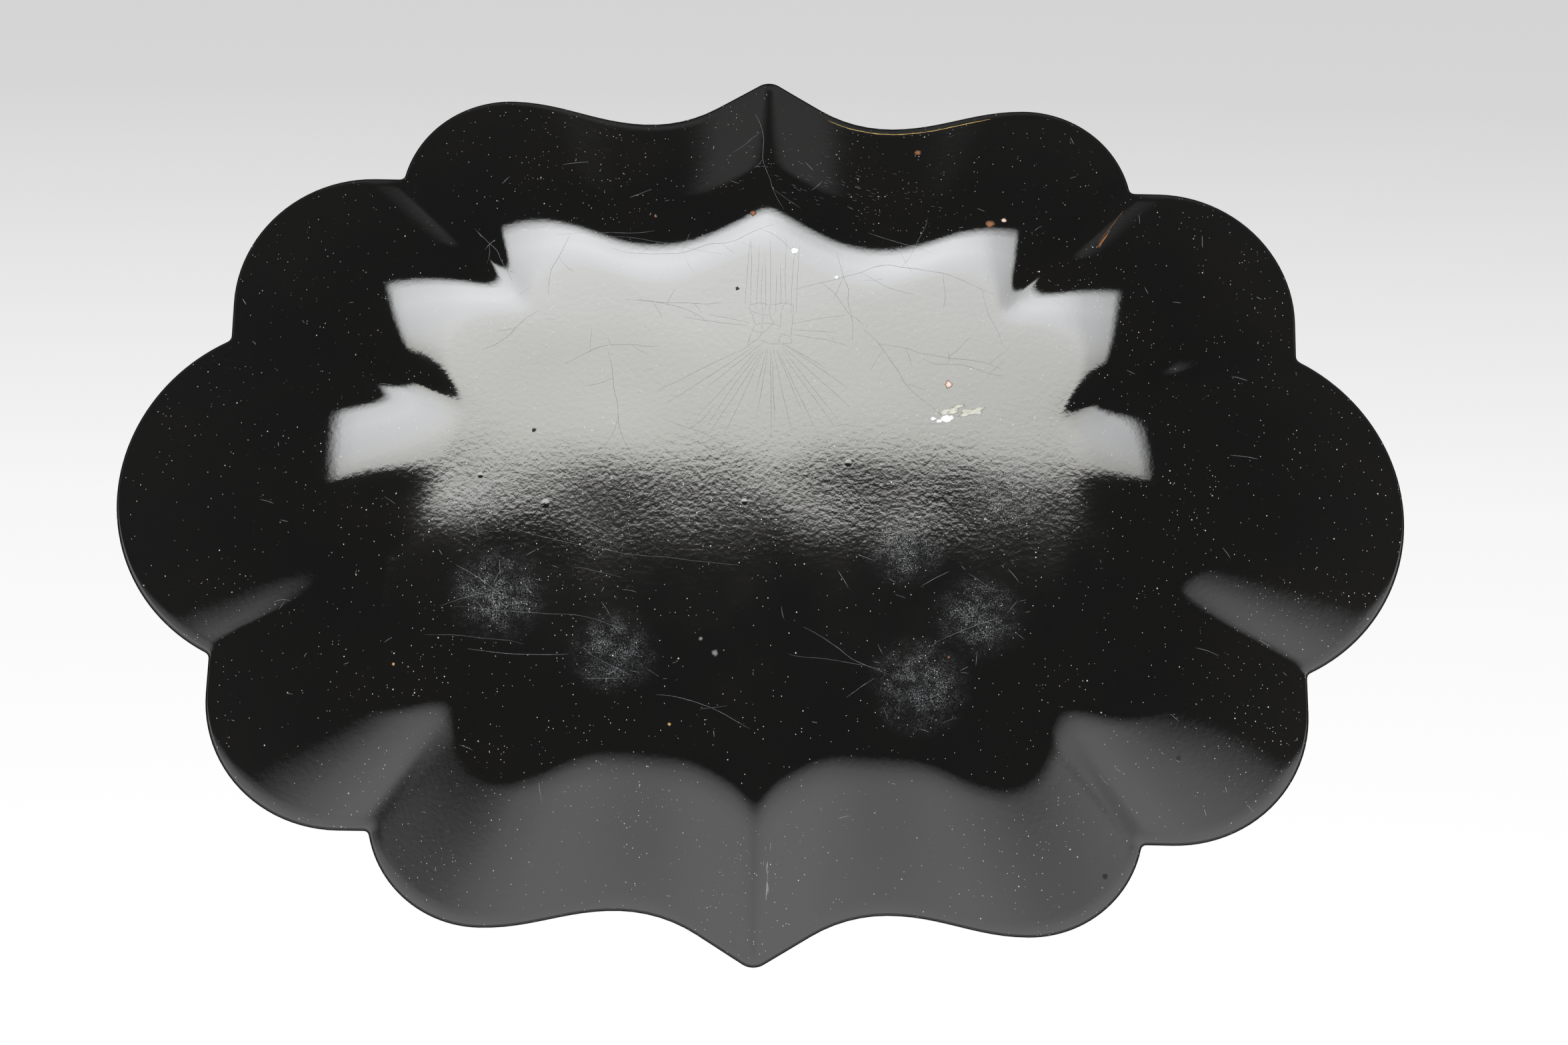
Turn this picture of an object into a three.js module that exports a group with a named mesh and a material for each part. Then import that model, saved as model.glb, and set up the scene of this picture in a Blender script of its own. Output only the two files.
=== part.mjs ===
// A Zhostovo tray: a scalloped oval dish pressed from sheet iron, its edge rolled over a wire,
// primed and lacquered on both sides, with gilding and a painted bouquet on the face.
// Millimetres, +Z up, length along X. The tray lies on its underside with the face up, and the
// origin is under the middle of the well, on the surface that it rests on.
import * as THREE from "three";

// Outline in plan, one quarter: end lobe, corner lobe, then the long side with its middle point.
const END_REACH = 230;
const END_R = 66;
const CORNER_X = 193;
const CORNER_Y = 122.6;
const CORNER_R = 49;
const CREST_X = 94;
const CREST_Y = 155.5;
const CREST_R = 40;
const VALLEY_X = 46;
const VALLEY_Y = 148.3;
const VALLEY_R = 50;
const FLANK = THREE.MathUtils.degToRad(32);
const TIP_R = 7;
const SLOPE_EASE = 0.38; // how far the long side's crest and valley run level, as a share of the way between
const NOTCH = 1.8; // each lobe stops this far short of the cusp between two lobes

// The flat well's outline echoes the tray's. Each lobe is a curve, given by its four control points, x then y.
const WELL_END = [112, 0, 112, 10.8, 106, 18, 98, 17.4];
const WELL_CORNER = [98, 18.6, 114, 34, 124, 64, 80.6, 57];
const WELL_CREST = [80, 57.6, 84, 69, 79, 77, 67, 77];
const WELL_SLOPE = [67, 77, 56, 77, 49, 70, 38, 70];
const WELL_POINT = [38, 70, 25, 70, 12, 82, 0, 86];

// Section through the rim.
const RIM_HEIGHT = 34;
const RIM_SWAY = 2.5; // the rim stands this much higher on the two axes and lower between them
const BLEND = 0.5; // share of the rim's width over which it curves up out of the well
const SHEET = 0.8;
const COAT = 0.4; // ground and lacquer together
const GAP = 0.05;
const WIRE_R = 0.85;
const WIRE_FIT = 0.25;
const SEAM = 2; // in degrees: face and back coats stop this far from the bead's widest line
const ROLL_START = 2.6; // from the wire's middle, inward down the rim, to where the rolled edge begins

// Each layer's under surface, as its height over the well's lowest surface.
const BACK_COAT = 0;
const IRON = BACK_COAT + COAT + GAP;
const FACE_COAT = IRON + SHEET + GAP;
const PAINT = FACE_COAT + COAT + GAP;
const PAINT_THICK = 0.2;
const BEAD_R = WIRE_R + WIRE_FIT + PAINT - GAP - IRON;

// How finely each stretch is divided.
const END_STEPS = 4;
const CORNER_STEPS = 4;
const CREST_STEPS = 4;
const SLOPE_STEPS = 2;
const VALLEY_STEPS = 1;
const GARLAND = [0.72, 0.9]; // the gilt border, as shares of the rim's width
const RIM_RINGS = [0, 0.2, 0.5, ...GARLAND, 1];
const UNDER_WIRE = [-45]; // angles round the wire, in degrees up from level, of the bead's facets
const OVER_WIRE = [45, 90, 135]; // the last is where the rolled edge ends
const WIRE_SIDES = 6;
const PLATE_SIDES = 8;
const PLATE_R = 40;
const PETAL_STEPS = 4;

const PETAL_NOTCH = 0.16; // how far a flower's outline comes in between petals, as a share of its radius
const LEAF_WIDTH = 6;
const LEAF_SHOULDER = 0.25; // where along a leaf its outline is widest, and where it starts to taper
const LEAF_TAPER = 0.7;

function arc(x, y, radius, from, to) {
  return new THREE.EllipseCurve(x, y, radius, radius, from, to, to < from);
}

function line(x0, y0, x1, y1) {
  return new THREE.LineCurve(new THREE.Vector2(x0, y0), new THREE.Vector2(x1, y1));
}

function bezier(...numbers) {
  const points = [];
  for (let i = 0; i < numbers.length; i += 2) {
    points.push(new THREE.Vector2(numbers[i], numbers[i + 1]));
  }
  return new THREE.CubicBezierCurve(...points);
}

// Points along several curves that follow each other, each divided into its own number of steps.
function along(stretches) {
  const points = stretches.flatMap(([curve, steps]) => curve.getPoints(steps).slice(0, -1));
  const last = stretches[stretches.length - 1][0];
  return [...points, last.getPoint(1)];
}

// One quarter of the edge, from the end on +X round to the middle point on +Y.
function edgeQuarter() {
  const right = Math.PI / 2;
  const endX = END_REACH - END_R;
  const endStop = Math.acos((CORNER_X - endX) / END_R);
  const cuspY = END_R * Math.sin(endStop);
  const endLobe = arc(endX, 0, END_R, 0, endStop - NOTCH / END_R);

  const cornerX = CORNER_X - CORNER_R;
  const cornerY = CORNER_Y - CORNER_R;
  const crestStart = Math.asin((CORNER_Y - CREST_Y + CREST_R) / CREST_R);
  const cuspX = CREST_X + CREST_R * Math.cos(crestStart);

  const crest = arc(CREST_X, CREST_Y - CREST_R, CREST_R, crestStart + NOTCH / CREST_R, right);
  const level = SLOPE_EASE * (CREST_X - VALLEY_X);
  const slope = bezier(
    CREST_X, CREST_Y, CREST_X - level, CREST_Y,
    VALLEY_X + level, VALLEY_Y, VALLEY_X, VALLEY_Y,
  );
  const valley = arc(VALLEY_X, VALLEY_Y + VALLEY_R, VALLEY_R, -right, -right - FLANK);
  const rise = valley.getPoint(1);
  const apex = rise.y + rise.x * Math.tan(FLANK);
  const tipY = apex - TIP_R / Math.cos(FLANK);
  const tip = arc(0, tipY, TIP_R, right - FLANK, right);
  const flankEnd = tip.getPoint(0);

  return [
    ...along([[endLobe, END_STEPS]]),
    ...along([
      [line(CORNER_X, cuspY + NOTCH, CORNER_X, cornerY), 1],
      [arc(cornerX, cornerY, CORNER_R, 0, right), CORNER_STEPS],
      [line(cornerX, CORNER_Y, cuspX + NOTCH, CORNER_Y), 1],
    ]),
    ...along([
      [crest, CREST_STEPS],
      [slope, SLOPE_STEPS],
      [valley, VALLEY_STEPS],
      [line(rise.x, rise.y, flankEnd.x, flankEnd.y), 1],
      [tip, 1],
    ]),
  ];
}

// The same quarter of the well's outline, point for point.
function wellQuarter() {
  return [
    ...along([[bezier(...WELL_END), END_STEPS]]),
    ...along([[bezier(...WELL_CORNER), CORNER_STEPS + 2]]),
    ...along([
      [bezier(...WELL_CREST), CREST_STEPS],
      [bezier(...WELL_SLOPE), SLOPE_STEPS],
      [bezier(...WELL_POINT), VALLEY_STEPS + 2],
    ]),
  ];
}

// Mirrors a quarter about both axes into the closed outline, anticlockwise.
function mirrored(quarter) {
  const inner = quarter.slice(1, -1);
  const flip = (points, sx, sy) => points.map((p) => new THREE.Vector2(sx * p.x, sy * p.y));
  return [
    ...quarter,
    ...flip([...inner].reverse(), -1, 1),
    ...flip(quarter.slice(0, -1), -1, -1),
    ...flip([quarter[quarter.length - 1]], -1, -1),
    ...flip([...inner].reverse(), 1, -1),
  ];
}

// Outward normals in plan: at each point, half way between those of the two edges that meet there.
function normalsOf(points) {
  const count = points.length;
  const edge = (i) => {
    const along_ = points[(i + 1) % count].clone().sub(points[(i + count) % count]);
    return new THREE.Vector2(along_.y, -along_.x).normalize();
  };
  return points.map((_, i) => edge(i - 1 + (i ? 0 : count)).add(edge(i)).normalize());
}

const EDGE = mirrored(edgeQuarter());
const WELL = mirrored(wellQuarter());
const NORMALS = normalsOf(EDGE);

// How far up the rim has come at a share t of its width, from 0 to 1.
function climb(t) {
  const full = 1 - BLEND / 2;
  return (t < BLEND ? (t * t) / (2 * BLEND) : t - BLEND / 2) / full;
}

// The rim's section at each point of the outline: where the wire's middle is, and the rim's slope there.
const SECTIONS = EDGE.map((edge, i) => {
  const around = Math.atan2(edge.y, edge.x);
  const top = RIM_HEIGHT + RIM_SWAY * Math.cos(4 * around);
  const width = edge.distanceTo(WELL[i]);
  const steep = Math.atan(top / (width * (1 - BLEND / 2)));
  return { well: WELL[i], edge, normal: NORMALS[i], height: top - BEAD_R, steep };
});

// A point of a section's own plane: a runs outward up the rim's slope from the wire, b square to it. The
// sheet passes under the wire and rolls up and back over it, so the underside runs smoothly to the edge.
function inRoll(section, a, b) {
  const out = a * Math.cos(section.steep) - b * Math.sin(section.steep) - BEAD_R;
  const up = a * Math.sin(section.steep) + b * Math.cos(section.steep);
  const plan = section.edge.clone().addScaledVector(section.normal, out);
  return new THREE.Vector3(plan.x, plan.y, section.height + up);
}

// A point on the bead around the wire, at an angle up from the horizontal.
function onBead(section, radius, angle) {
  const out = radius * Math.cos(angle) - BEAD_R;
  const plan = section.edge.clone().addScaledVector(section.normal, out);
  return new THREE.Vector3(plan.x, plan.y, section.height + radius * Math.sin(angle));
}

// How far below the wire's middle, square to the rim, the surface at a height over the well's lowest runs.
const belowWire = (layer) => WIRE_R + WIRE_FIT + SHEET + IRON - layer;

// A point of the surface at a height over the well's lowest surface, at a share t of the rim's width.
function onRim(section, layer, t) {
  const outer = inRoll(section, -ROLL_START, -belowWire(layer));
  const plan = section.well.clone().lerp(new THREE.Vector2(outer.x, outer.y), t);
  return new THREE.Vector3(plan.x, plan.y, layer + (outer.z - layer) * climb(t));
}

const rimRings = (layer) => RIM_RINGS.map((t) => (section) => onRim(section, layer, t));

// Rings over the bead at one radius, at angles in degrees.
function beadRings(radius, angles) {
  return angles.map((angle) => (section) => onBead(section, radius, THREE.MathUtils.degToRad(angle)));
}

// The ring where the rim's surface runs on to the underside of the bead.
const keelRing = (radius) => (section) => onBead(section, radius, section.steep - Math.PI / 2);

// The small flat plate in the middle of the well, as a ring with as many points as the outline.
function plateRing(height) {
  return SECTIONS.map((section) => {
    const around = Math.atan2(section.well.y, section.well.x);
    const corner = Math.round((around / (2 * Math.PI)) * PLATE_SIDES - 0.5) + 0.5;
    const angle = (corner / PLATE_SIDES) * 2 * Math.PI;
    return new THREE.Vector3(PLATE_R * Math.cos(angle), PLATE_R * Math.sin(angle), height);
  });
}

// Collects triangles over shared corners, leaving out those with no area.
class Skin {
  constructor() {
    this.corners = [];
    this.known = new Map();
    this.faces = [];
  }

  corner(point) {
    const key = point.toArray().map((v) => v.toFixed(4)).join(" ");
    if (!this.known.has(key)) {
      this.known.set(key, this.corners.length / 3);
      this.corners.push(point.x, point.y, point.z);
    }
    return this.known.get(key);
  }

  face(...points) {
    const [a, b, c] = points.map((point) => this.corner(point));
    if (a !== b && b !== c && c !== a) this.faces.push(a, b, c);
  }

  // Joins two rings whose points match, the first lying inside the second as seen from outside.
  // Surfaces that lie on each other have to be split along the same diagonals, so those seen from
  // below, whose rings run inward, take the other diagonal of each facet.
  band(inner, outer, fromBelow = false) {
    inner.forEach((point, i) => {
      const next = (i + 1) % inner.length;
      this.face(point, outer[i], fromBelow ? inner[next] : outer[next]);
      this.face(fromBelow ? outer[i] : point, outer[next], inner[next]);
    });
  }

  // Closes the middle of the well over the plate's corners, round one triangle that holds the centre.
  plate(height, up) {
    const corner = (k) => {
      const angle = ((k + 0.5) / PLATE_SIDES) * 2 * Math.PI;
      return new THREE.Vector3(PLATE_R * Math.cos(angle), PLATE_R * Math.sin(angle), height);
    };
    for (const [a, b, c] of [[0, 3, 5], [0, 1, 3], [1, 2, 3], [3, 4, 5], [0, 5, 7], [5, 6, 7]]) {
      if (up) this.face(corner(a), corner(b), corner(c));
      else this.face(corner(a), corner(c), corner(b));
    }
  }

  geometry() {
    const made = new THREE.BufferGeometry();
    made.setAttribute("position", new THREE.Float32BufferAttribute(this.corners, 3));
    made.setIndex(this.faces);
    made.computeVertexNormals();
    return made;
  }
}

// A shell over the whole tray: its upper rings run outward from the well, and its lower rings back in.
function shell(upper, upperHeight, lower, lowerHeight) {
  const skin = new Skin();
  const rings = [...upper, ...lower].map((ring) => SECTIONS.map(ring));
  const all = [plateRing(upperHeight), ...rings, plateRing(lowerHeight)];
  for (let k = 0; k + 1 < all.length; k += 1) skin.band(all[k], all[k + 1], k >= upper.length);
  skin.plate(upperHeight, true);
  skin.plate(lowerHeight, false);
  return skin.geometry();
}

// The pressed sheet with its edge rolled right round the wire.
function panGeometry() {
  const inside = belowWire(IRON + SHEET);
  const outside = belowWire(IRON);
  const roll = [...UNDER_WIRE, 0, ...OVER_WIRE];
  const upper = [...rimRings(IRON + SHEET), keelRing(inside), ...beadRings(inside, roll)];
  const lower = [...beadRings(outside, roll).reverse(), keelRing(outside), ...rimRings(IRON).reverse()];
  return shell(upper, IRON + SHEET, lower, IRON);
}

// A coat on the underside, which ends under the bead's widest line.
function backCoatGeometry(layer) {
  const surface = (height) => {
    const radius = belowWire(height);
    return [...rimRings(height), keelRing(radius), ...beadRings(radius, [...UNDER_WIRE, -SEAM])];
  };
  return shell(surface(layer + COAT), layer + COAT, surface(layer).reverse(), layer);
}

// A coat on the face, which runs on over the bead from inside to its widest line.
function faceCoatGeometry(layer) {
  const surface = (height) => {
    const lift = belowWire(height);
    const radius = WIRE_R + WIRE_FIT + height - IRON;
    const inner = (section) => inRoll(section, -Math.sqrt(radius ** 2 - lift ** 2), -lift);
    return [...rimRings(height), inner, ...beadRings(radius, [...OVER_WIRE.toReversed(), SEAM])];
  };
  return shell(surface(layer + COAT), layer + COAT, surface(layer).reverse(), layer);
}

// A closed ring whose section is a loop of points, given anticlockwise with outward to the right.
function hoopGeometry(loop) {
  const skin = new Skin();
  const rings = loop.map((ring) => SECTIONS.map(ring));
  rings.forEach((ring, k) => skin.band(rings[(k + 1) % rings.length], ring, k === rings.length - 1));
  return skin.geometry();
}

function wireGeometry() {
  const sides = Array.from({ length: WIRE_SIDES }, (_, k) => (2 * Math.PI * k) / WIRE_SIDES);
  return hoopGeometry(sides.map((angle) => (section) => onBead(section, WIRE_R, angle)));
}

// A painted band that follows the outline between two shares of the rim's width.
function borderGeometry([from, to]) {
  const corners = [[to, PAINT], [to, PAINT + PAINT_THICK], [from, PAINT + PAINT_THICK], [from, PAINT]];
  return hoopGeometry(corners.map(([t, layer]) => (section) => onRim(section, layer, t)));
}

// A painted line along the top of the bead.
function edgeLineGeometry() {
  const under = BEAD_R + GAP;
  const over = under + PAINT_THICK;
  const [outer, inner] = OVER_WIRE;
  return hoopGeometry([
    ...beadRings(under, [outer]),
    ...beadRings(over, [outer, inner]),
    ...beadRings(under, [inner]),
  ]);
}

// A flower head: one scallop for each petal, drawn as a rounded wave round a circle.
function blossomGeometry(radius, petals) {
  const outline = [];
  const steps = petals * PETAL_STEPS;
  for (let k = 0; k < steps; k += 1) {
    const angle = (2 * Math.PI * k) / steps;
    const wave = Math.sqrt(Math.abs(Math.sin((petals * angle) / 2)));
    const reach = radius * (1 - PETAL_NOTCH + PETAL_NOTCH * wave);
    outline.push(new THREE.Vector2(reach * Math.cos(angle), reach * Math.sin(angle)));
  }
  return new THREE.ExtrudeGeometry(new THREE.Shape(outline), { depth: PAINT_THICK, bevelEnabled: false });
}

// A leaf with its stalk end at the origin and its point along +X.
function leafGeometry(length, width) {
  const shape = new THREE.Shape();
  const near = LEAF_SHOULDER * length;
  const far = LEAF_TAPER * length;
  const narrow = LEAF_TAPER * width;
  shape.moveTo(0, 0);
  shape.bezierCurveTo(near, width, far, narrow, length, 0);
  shape.bezierCurveTo(far, -narrow, near, -width, 0, 0);
  return new THREE.ExtrudeGeometry(shape, { depth: PAINT_THICK, bevelEnabled: false, curveSegments: 6 });
}

const FINISHES = {
  iron: { color: 0x4a4744, roughness: 0.55, metalness: 0.9 },
  lacquer: { color: 0x060607, roughness: 0.12, metalness: 0 },
  gilding: { color: 0xc9993c, roughness: 0.35, metalness: 0.8 },
  crimson: { color: 0xb3262e, roughness: 0.35, metalness: 0 },
  blush: { color: 0xe9a79c, roughness: 0.35, metalness: 0 },
  cream: { color: 0xf0e4c6, roughness: 0.35, metalness: 0 },
  blue: { color: 0x4f79b8, roughness: 0.35, metalness: 0 },
  yellow: { color: 0xe0b23c, roughness: 0.35, metalness: 0 },
  leaf: { color: 0x3f7a3a, roughness: 0.35, metalness: 0 },
};

// Flower heads in the well: name, place, radius, petals, finish.
const BLOSSOMS = [
  ["rose_middle", 0, 3, 24, 7, "crimson"],
  ["rose_left", -42, -10, 17, 6, "blush"],
  ["rose_right", 42, 12, 17, 6, "cream"],
  ["aster_left", -37, 26, 12, 8, "blue"],
  ["aster_right", 34, -22, 12, 8, "blue"],
  ["primrose_top", 8, 41, 10, 5, "yellow"],
  ["primrose_low", -10, -36, 10, 5, "yellow"],
];

// Leaves that reach out from between the flowers: place of the stalk end, heading in degrees, length.
const LEAVES = [
  [62, 8, 2, 28],
  [50, 34, 52, 26],
  [20, 50, 70, 20],
  [-14, 44, 112, 26],
  [-51, 30, 150, 22],
  [-62, -8, 178, 28],
  [-46, -31, 222, 26],
  [4, -44, 282, 22],
  [36, -37, 300, 26],
];

const tray = new THREE.Group();
tray.name = "zhostovo_tray";

function add(name, geometry, finish) {
  const mesh = new THREE.Mesh(geometry, new THREE.MeshStandardMaterial(FINISHES[finish]));
  mesh.name = name;
  tray.add(mesh);
  return mesh;
}

add("pressed_pan", panGeometry(), "iron");
add("rim_wire", wireGeometry(), "iron");
add("back_lacquer_coat", backCoatGeometry(BACK_COAT), "lacquer");
add("face_lacquer_coat", faceCoatGeometry(FACE_COAT), "lacquer");
add("gilt_edge_line", edgeLineGeometry(), "gilding");
add("gilt_garland", borderGeometry(GARLAND), "gilding");

for (const [name, x, y, radius, petals, finish] of BLOSSOMS) {
  add(name, blossomGeometry(radius, petals), finish).position.set(x, y, PAINT);
}

LEAVES.forEach(([x, y, heading, length], k) => {
  const leaf = add(`leaf_${k + 1}`, leafGeometry(length, LEAF_WIDTH), "leaf");
  leaf.position.set(x, y, PAINT);
  leaf.rotation.z = THREE.MathUtils.degToRad(heading);
});

export default tray;
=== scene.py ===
"""A Zhostovo tray: black lacquer over pressed sheet iron, a wired edge, a gilt border and a painted bouquet.

The camera looks at the plain underside. The painted face is seen from above.
"""

import math

import bpy
import numpy as np
from mathutils import Matrix, Vector
from mathutils.bvhtree import BVHTree


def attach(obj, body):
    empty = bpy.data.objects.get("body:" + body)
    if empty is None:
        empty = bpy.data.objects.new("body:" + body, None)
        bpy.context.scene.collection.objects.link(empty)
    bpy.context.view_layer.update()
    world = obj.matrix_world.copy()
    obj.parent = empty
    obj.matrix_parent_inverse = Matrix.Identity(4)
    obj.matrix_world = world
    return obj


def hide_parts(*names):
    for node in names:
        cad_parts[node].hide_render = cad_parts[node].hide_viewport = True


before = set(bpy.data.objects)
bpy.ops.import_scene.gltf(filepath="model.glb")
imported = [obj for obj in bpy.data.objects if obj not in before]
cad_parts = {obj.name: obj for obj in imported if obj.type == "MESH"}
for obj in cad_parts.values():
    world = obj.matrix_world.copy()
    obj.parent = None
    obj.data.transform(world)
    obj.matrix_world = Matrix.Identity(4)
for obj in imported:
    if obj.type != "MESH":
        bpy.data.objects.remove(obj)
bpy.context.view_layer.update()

MM = 0.001

# The tray's driving sizes, in millimetres: its outline in plan, one quarter.
END_REACH = 230
END_R = 66
CORNER_X = 193
CORNER_Y = 122.6
CORNER_R = 49
CREST_X = 94
CREST_Y = 155.5
CREST_R = 40
VALLEY_X = 46
VALLEY_Y = 148.3
VALLEY_R = 50
FLANK = math.radians(32)
TIP_R = 7
NOTCH = 1.8

# The flat well's outline, one quarter: each lobe is a curve, given by its four control points.
WELL_END = [(112, 0), (112, 10.8), (106, 18), (98, 17.4)]
WELL_CORNER = [(98, 18.6), (114, 34), (124, 64), (80.6, 57)]
WELL_CREST = [(80, 57.6), (84, 69), (79, 77), (67, 77)]
WELL_SLOPE = [(67, 77), (56, 77), (49, 70), (38, 70)]
WELL_POINT = [(38, 70), (25, 70), (12, 82), (0, 86)]
CREASE_SOFTEN = 6.0  # how round the creases are at the well, in millimetres; they sharpen towards the edge
CREASE_FADE = 1.6
WORN_CREASE = (106, -30)  # over this place and its mirror, worn creases run out more gently
WORN_SOFTEN = 26.0
WORN_REACH = 26.0

# Section through the rim, and the layers' under surfaces as heights over the well's lowest surface.
RIM_HEIGHT = 34
RIM_SWAY = 2.5
BLEND = 0.5
SHEET = 0.8
COAT = 0.4
GAP = 0.05
WIRE_R = 0.85
WIRE_FIT = 0.25
SEAM = 2
ROLL_START = 2.6
ROLL_END = math.radians(135)
BACK_COAT = 0
IRON = BACK_COAT + COAT + GAP
FACE_COAT = IRON + SHEET + GAP
PAINT = FACE_COAT + COAT + GAP
BEAD_R = WIRE_R + WIRE_FIT + PAINT - GAP - IRON

FINE = 6  # points along each step of the CAD outline
RIM_RINGS = 44
HIDDEN_RINGS = 16
BEAD_RINGS = 12
FLAT_RINGS = 14
FLAT_START = 0.06

RIPPLES = 9  # waves that make up the hand-beaten surface
RIPPLE_HEIGHT = 0.009
RIPPLE_LENGTHS = (38, 90)


def arc(x, y, radius, start, stop, steps):
    angle = np.linspace(start, stop, steps + 1)
    return np.stack([x + radius * np.cos(angle), y + radius * np.sin(angle)], 1)


def line(start, stop, steps):
    share = np.linspace(0, 1, steps + 1)[:, None]
    return np.array(start) * (1 - share) + np.array(stop) * share


def bezier(points, steps):
    t = np.linspace(0, 1, steps + 1)[:, None]
    a, b, c, d = np.array(points, float)
    return a * (1 - t) ** 3 + 3 * b * t * (1 - t) ** 2 + 3 * c * t * t * (1 - t) + d * t**3


def fillet(start, corner, stop, steps):
    """A small rounded corner between two lobes."""
    t = np.linspace(0, 1, steps + 1)[:, None]
    a, b, c = np.array(start, float), np.array(corner, float), np.array(stop, float)
    return a * (1 - t) ** 2 + 2 * b * t * (1 - t) + c * t * t


def joined(*stretches):
    return np.concatenate([s[:-1] for s in stretches[:-1]] + [stretches[-1]])


def edge_quarter():
    right = math.pi / 2
    end_x = END_REACH - END_R
    end_stop = math.acos((CORNER_X - end_x) / END_R)
    cusp_y = END_R * math.sin(end_stop)
    end_lobe = arc(end_x, 0, END_R, 0, end_stop - NOTCH / END_R, 4 * FINE)

    corner_x, corner_y = CORNER_X - CORNER_R, CORNER_Y - CORNER_R
    crest_start = math.asin((CORNER_Y - CREST_Y + CREST_R) / CREST_R)
    cusp_x = CREST_X + CREST_R * math.cos(crest_start)
    corner_from, corner_to = (CORNER_X, cusp_y + NOTCH), (cusp_x + NOTCH, CORNER_Y)
    corner = joined(
        line(corner_from, (CORNER_X, corner_y), FINE),
        arc(corner_x, corner_y, CORNER_R, 0, right, 4 * FINE),
        line((corner_x, CORNER_Y), corner_to, FINE),
    )

    crest = arc(CREST_X, CREST_Y - CREST_R, CREST_R, crest_start + NOTCH / CREST_R, right, 4 * FINE)
    reach = 0.38 * (CREST_X - VALLEY_X)
    slope = bezier(
        [(CREST_X, CREST_Y), (CREST_X - reach, CREST_Y), (VALLEY_X + reach, VALLEY_Y), (VALLEY_X, VALLEY_Y)],
        2 * FINE,
    )
    valley = arc(VALLEY_X, VALLEY_Y + VALLEY_R, VALLEY_R, -right, -right - FLANK, FINE)
    rise = valley[-1]
    tip_y = rise[1] + rise[0] * math.tan(FLANK) - TIP_R / math.cos(FLANK)
    tip = arc(0, tip_y, TIP_R, right - FLANK, right, FINE)
    return joined(
        end_lobe,
        fillet(end_lobe[-1], (CORNER_X, cusp_y), corner_from, FINE),
        corner,
        fillet(corner_to, (cusp_x, CORNER_Y), crest[0], FINE),
        crest,
        slope,
        valley,
        line(rise, tip[0], FINE),
        tip,
    )


def well_quarter():
    return joined(
        bezier(WELL_END, 4 * FINE),
        line(WELL_END[-1], WELL_CORNER[0], FINE),
        bezier(WELL_CORNER, 6 * FINE),
        line(WELL_CORNER[-1], WELL_CREST[0], FINE),
        bezier(WELL_CREST, 4 * FINE),
        bezier(WELL_SLOPE, 2 * FINE),
        bezier(WELL_POINT, 3 * FINE),
    )


def mirrored(quarter):
    """A quarter, mirrored about both axes into the closed outline, anticlockwise."""
    inner = quarter[1:-1]
    return np.concatenate([
        quarter,
        inner[::-1] * (-1, 1),
        -quarter,
        inner[::-1] * (1, -1),
    ])


def smoothed(loop, spread):
    """A closed loop of points, averaged along its own length by a spread for each point."""
    steps = np.linalg.norm(np.roll(loop, -1, axis=0) - loop, axis=1)
    at = np.concatenate([[0], np.cumsum(steps)[:-1]])
    apart = np.abs(at[:, None] - at[None, :])
    apart = np.minimum(apart, steps.sum() - apart)
    near = np.exp(-0.5 * (apart / np.maximum(spread, 0.1)[:, None]) ** 2)
    weights = near * (steps + np.roll(steps, 1))[None, :]
    return weights @ loop / weights.sum(1)[:, None]


EDGE = mirrored(edge_quarter())
WELL = mirrored(well_quarter())
AROUND = len(EDGE)
FROM_WORN = np.hypot(np.abs(WELL[:, 0]) - WORN_CREASE[0], WELL[:, 1] - WORN_CREASE[1])
SOFTEN = CREASE_SOFTEN + WORN_SOFTEN * np.exp(-0.5 * (FROM_WORN / WORN_REACH) ** 2)


def outward(loop):
    along = np.roll(loop, -1, axis=0) - np.roll(loop, 1, axis=0)
    normal = np.stack([along[:, 1], -along[:, 0]], 1)
    return normal / np.linalg.norm(normal, axis=1)[:, None]


NORMAL = outward(EDGE)
TOP = RIM_HEIGHT + RIM_SWAY * np.cos(4 * np.arctan2(EDGE[:, 1], EDGE[:, 0]))
WIRE_Z = TOP - BEAD_R
STEEP = np.arctan(TOP / (np.linalg.norm(EDGE - WELL, axis=1) * (1 - BLEND / 2)))


def climb(t):
    return np.where(t < BLEND, t * t / (2 * BLEND), t - BLEND / 2) / (1 - BLEND / 2)


def in_roll(a, b):
    """Points of the sections' own planes: a runs outward up the rim's slope from the wire, b square to it."""
    out = a * np.cos(STEEP) - b * np.sin(STEEP) - BEAD_R
    up = a * np.sin(STEEP) + b * np.cos(STEEP)
    return np.column_stack([EDGE + NORMAL * out[:, None], WIRE_Z + up])


def on_bead(radius, angle):
    """Points on the bead round the wire, at an angle up from level."""
    out = np.broadcast_to(radius * np.cos(angle) - BEAD_R, (AROUND,))
    return np.column_stack([EDGE + NORMAL * out[:, None], WIRE_Z + radius * np.sin(angle)])


rng = np.random.default_rng(7)
WAVES = [
    (2 * math.pi / rng.uniform(*RIPPLE_LENGTHS), rng.uniform(0, math.pi), rng.uniform(0, 2 * math.pi))
    for _ in range(RIPPLES)
]


def ripple(points):
    """How far the sheet stands proud of its true shape, in millimetres, never below it."""
    total = np.zeros(len(points))
    for rate, heading, phase in WAVES:
        across = points[:, 0] * math.cos(heading) + points[:, 1] * math.sin(heading)
        total += np.sin(rate * across + phase)
    return RIPPLE_HEIGHT * (total + RIPPLES * 0.5)


def below_wire(layer):
    """How far below the wire's middle, square to the rim, a surface runs."""
    return WIRE_R + WIRE_FIT + SHEET + IRON - layer


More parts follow.
